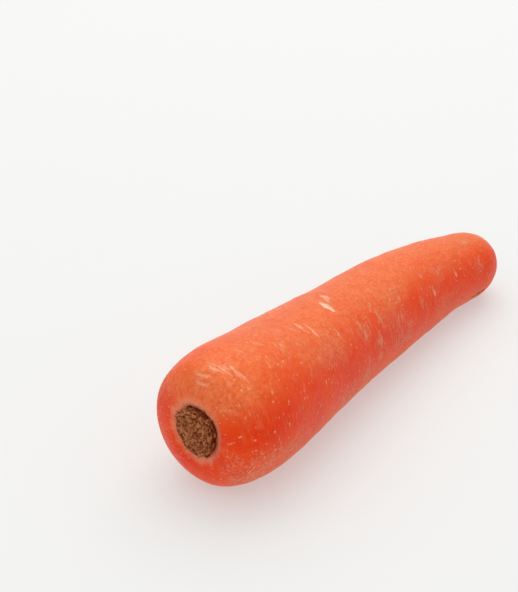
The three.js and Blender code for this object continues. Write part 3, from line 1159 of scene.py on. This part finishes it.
class CARROT_OT_leaf_stalks(bpy.types.Operator):
    """Build the torn, fibrous bases of the leaf stalks"""

    bl_idname = "carrot.leaf_stalks"
    bl_label = "Leaf stalk bases"

    def execute(self, context):
        look = context.scene.carrot_crown
        material = stalk_material(look)
        graph = None  # the first base makes the tree, and the others share it
        for number, node in enumerate(STALK_NODES):
            points = in_crown_frame(vertices_of(node))
            middle = math.atan2(points[:, 1].mean(), points[:, 0].mean())
            turned = np.arctan2(points[:, 1], points[:, 0]) - middle
            turned = (turned + math.pi) % (2 * math.pi) - math.pi
            ring = np.hypot(points[:, 0], points[:, 1])
            values = {
                "Middle radius": float(ring.max() - STALK_THICKNESS / 2),
                "Thickness": STALK_THICKNESS,
                "Start angle": float(middle + turned.min()),
                "Sweep": float(turned.max() - turned.min()),
                "Foot": float(points[:, 2].min() - STALK_FOOT),
                "Top": float(points[:, 2].max()),
                "Fibres": look.fibres,
                "Fibre length": look.fibre_length,
                "Seed": look.seed + 10 * number,
                "Material": material,
            }
            graph = graph or stalk_graph(values)
            base = grown(node + "_torn", graph, values, crown_matrix())
            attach(base, "root")
            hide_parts(node)
        return {"FINISHED"}


# The softboxes: name, width, place and the point that each faces.
SOFTBOXES = (
    ("key", 1.3, (0.5, 0.35, 1.0), (0.0, 0.0, 0.02)),
    ("fill", 1.0, (-1.1, -0.25, 0.75), (-0.05, 0.0, 0.02)),
)
SENSOR_WIDTH = 36.0  # millimetres


class CARROT_OT_stage(bpy.types.Operator):
    """Set up the pale ground, the soft studio light and the camera"""

    bl_idname = "carrot.stage"
    bl_label = "Stage"

    def execute(self, context):
        look = context.scene.carrot_stage
        scene = context.scene
        corners = [(x * look.ground, y * look.ground, 0) for x, y in ((-1, -1), (1, -1), (1, 1), (-1, 1))]
        mesh = bpy.data.meshes.new("ground")
        mesh.from_pydata(corners, [], [(0, 1, 2, 3)])
        mesh.materials.append(paper_material(look))
        ground = bpy.data.objects.new("ground", mesh)
        scene.collection.objects.link(ground)

        scene.world = overcast_world(look.ambient)
        for name, width, place, target in SOFTBOXES:
            softbox(name, getattr(look, name), width, Vector(place), Vector(target))

        camera = bpy.data.cameras.new("camera")
        camera.lens = look.lens
        camera.sensor_width = SENSOR_WIDTH
        camera.clip_start, camera.clip_end = 0.01, 20.0
        viewer = bpy.data.objects.new("camera", camera)
        back = Vector((
            math.sin(look.azimuth) * math.cos(look.elevation),
            -math.cos(look.azimuth) * math.cos(look.elevation),
            math.sin(look.elevation),
        ))
        viewer.location = Vector(look.aim) + back * look.distance
        viewer.rotation_euler = back.to_track_quat("Z", "Y").to_euler()
        scene.collection.objects.link(viewer)
        scene.camera = viewer
        scene.view_settings.view_transform = "Standard"
        return {"FINISHED"}


def overcast_world(zenith):
    """A sky of even cloud: three times brighter overhead than at the horizon."""
    world = bpy.data.worlds.new("studio")
    world.use_nodes = True
    world.node_tree.nodes.clear()
    graph = Graph(world.node_tree)
    _, _, height = graph.separate(graph.node("ShaderNodeTexCoord")["Generated"])
    strength = (1 + 2 * graph.clamp(height)) * (zenith / 3)
    background = graph.node(
        "ShaderNodeBackground", None, {"Color": (1.0, 0.995, 0.985, 1.0), "Strength": strength}
    )
    graph.node("ShaderNodeOutputWorld", None, {"Surface": background})
    return world


def softbox(name, power, width, place, target):
    """A square area light that faces the target."""
    light = bpy.data.lights.new(name, "AREA")
    light.shape = "SQUARE"
    light.size = width
    light.energy = power
    lamp = bpy.data.objects.new(name, light)
    lamp.location = place
    lamp.rotation_euler = (place - target).to_track_quat("Z", "Y").to_euler()
    bpy.context.scene.collection.objects.link(lamp)


# ---- the add-on's panel and its running order ------------------------------------------------------------

OPERATORS = (CARROT_OT_taproot, CARROT_OT_crown_stub, CARROT_OT_leaf_stalks, CARROT_OT_stage)


class CARROT_PT_panel(bpy.types.Panel):
    """Carrot"""

    bl_idname = "CARROT_PT_panel"
    bl_label = "Carrot"
    bl_space_type = "VIEW_3D"
    bl_region_type = "UI"
    bl_category = "Carrot"

    def draw(self, context):
        for group in ("carrot_skin", "carrot_crown", "carrot_stage"):
            settings = getattr(context.scene, group)
            box = self.layout.box()
            for name in settings.__annotations__:
                box.prop(settings, name)
        for operator in OPERATORS:
            self.layout.operator(operator.bl_idname)


CLASSES = (CarrotSkinSettings, CarrotCrownSettings, CarrotStageSettings, *OPERATORS, CARROT_PT_panel)


def register():
    for cls in CLASSES:
        bpy.utils.register_class(cls)
    bpy.types.Scene.carrot_skin = PointerProperty(type=CarrotSkinSettings)
    bpy.types.Scene.carrot_crown = PointerProperty(type=CarrotCrownSettings)
    bpy.types.Scene.carrot_stage = PointerProperty(type=CarrotStageSettings)


def unregister():
    del bpy.types.Scene.carrot_stage
    del bpy.types.Scene.carrot_crown
    del bpy.types.Scene.carrot_skin
    for cls in reversed(CLASSES):
        bpy.utils.unregister_class(cls)


def main():
    register()
    bpy.ops.carrot.taproot()
    bpy.ops.carrot.crown_stub()
    bpy.ops.carrot.leaf_stalks()
    bpy.ops.carrot.stage()


if __name__ == "__main__":
    main()
